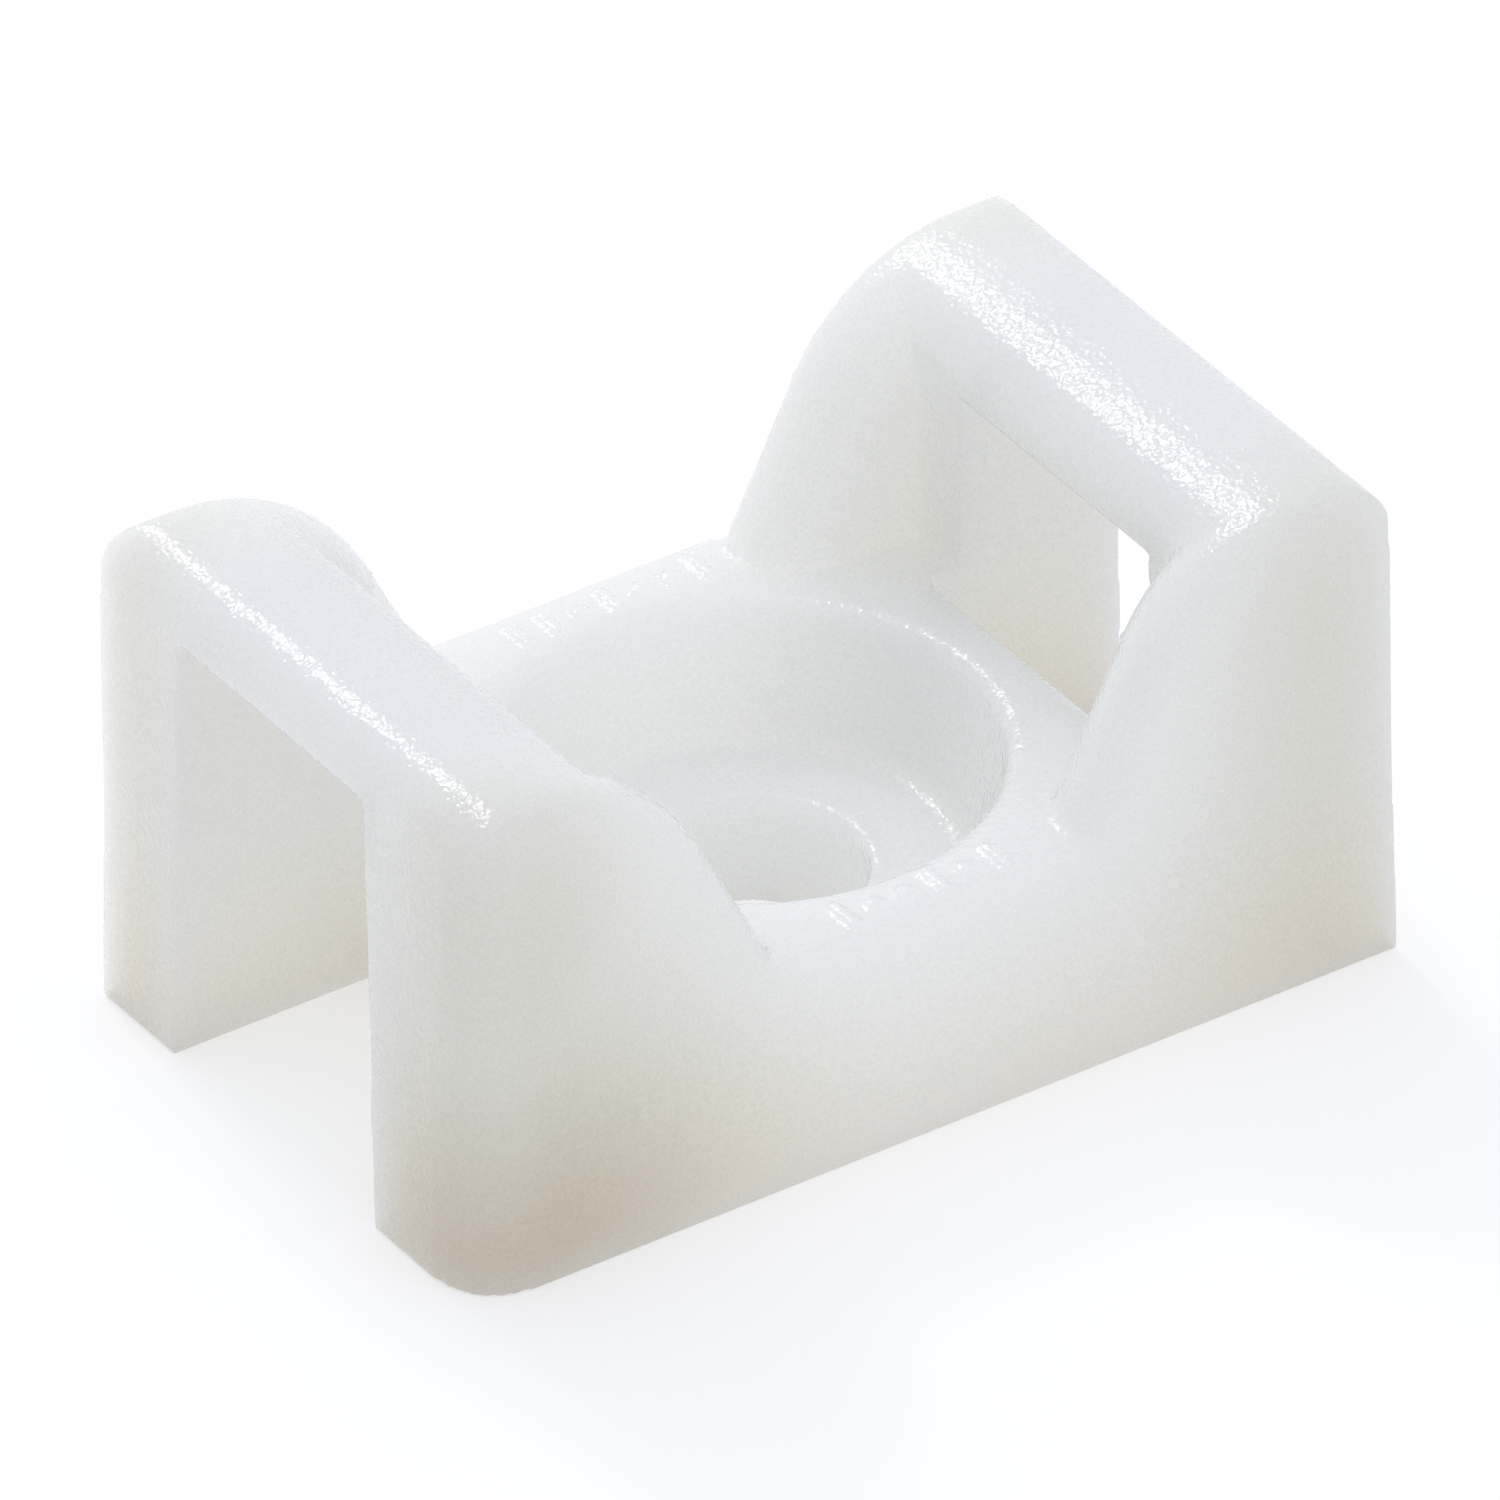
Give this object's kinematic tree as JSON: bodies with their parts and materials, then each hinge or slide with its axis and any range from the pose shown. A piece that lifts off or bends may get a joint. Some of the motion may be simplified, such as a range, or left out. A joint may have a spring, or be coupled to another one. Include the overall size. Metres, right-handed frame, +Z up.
{
  "type": "cable tie mount",
  "caption": "Screw-down moulded nylon cradle with a sunken screw seat; a flat cable tie runs under its end bars and holds a bundle in the saddle.",
  "frame": {"origin": "centre of the underside, on the screw hole's axis", "axes": "+X along the cable tie and the length, +Y across the width, +Z up out of the surface it is screwed to"},
  "size_m": [0.016, 0.0096, 0.0081],
  "materials": {
    "natural_nylon": "natural translucent nylon, injection moulded, satin with fine-grained bar tops"
  },
  "bodies": {
    "root": {"mount_body": "natural_nylon"}
  },
  "joints": []
}
